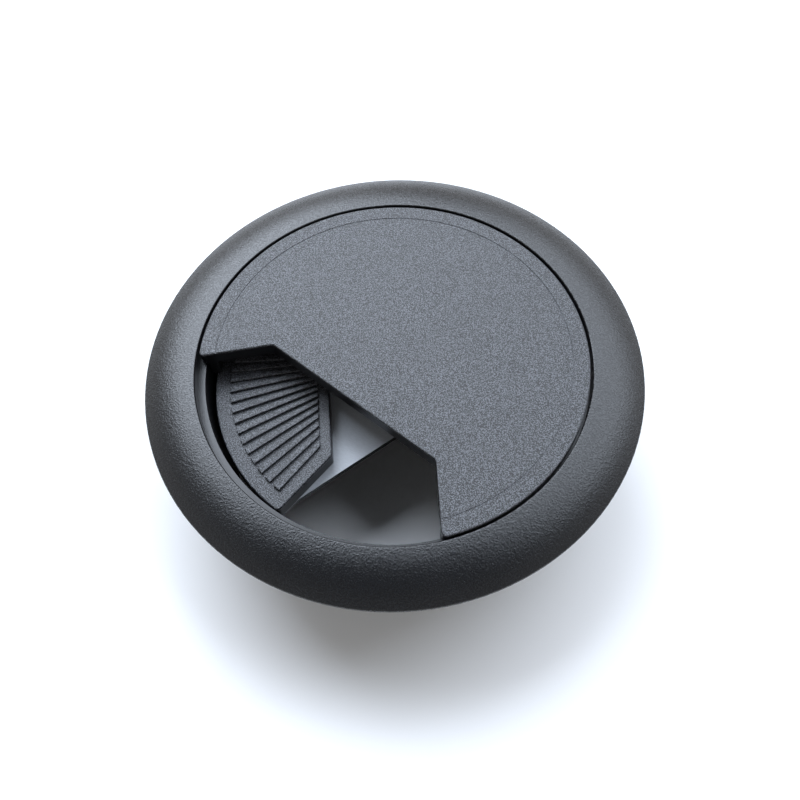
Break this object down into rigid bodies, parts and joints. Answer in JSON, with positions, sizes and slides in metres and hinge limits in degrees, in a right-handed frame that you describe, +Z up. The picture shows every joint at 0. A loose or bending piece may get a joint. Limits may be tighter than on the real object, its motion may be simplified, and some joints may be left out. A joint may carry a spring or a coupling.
{
  "type": "desk grommet",
  "caption": "Round desk cable grommet: flanged sleeve liner, drop-in turning lid with a cable cut-out, and a ribbed shutter that swivels under the lid.",
  "frame": {"origin": "on the sleeve's axis at the flange's underside, the plane of the desk's surface", "axes": "+Z up along the sleeve's axis, out of the desk; at rest the cut-out faces -X -Y and the finger pad faces -X"},
  "size_m": [0.0731, 0.0732, 0.0221],
  "materials": {
    "liner_plastic": "fine spark-eroded grain with a soft sheen",
    "lid_plastic": "coarse spark-eroded grain",
    "shutter_plastic": "grained pad on a smooth plate"
  },
  "bodies": {
    "liner": {"liner": "liner_plastic"},
    "lid": {"lid": "lid_plastic"},
    "shutter": {"shutter": "shutter_plastic"}
  },
  "joints": [
    {"name": "lid_turn", "type": "hinge", "parent": "liner", "child": "lid", "pos_m": [0, 0, 0], "axis": [0, 0, 1], "continuous": true},
    {"name": "shutter_turn", "type": "hinge", "parent": "lid", "child": "shutter", "pos_m": [0, 0, 0], "axis": [0, 0, 1], "range_deg": [-43, 51]}
  ]
}
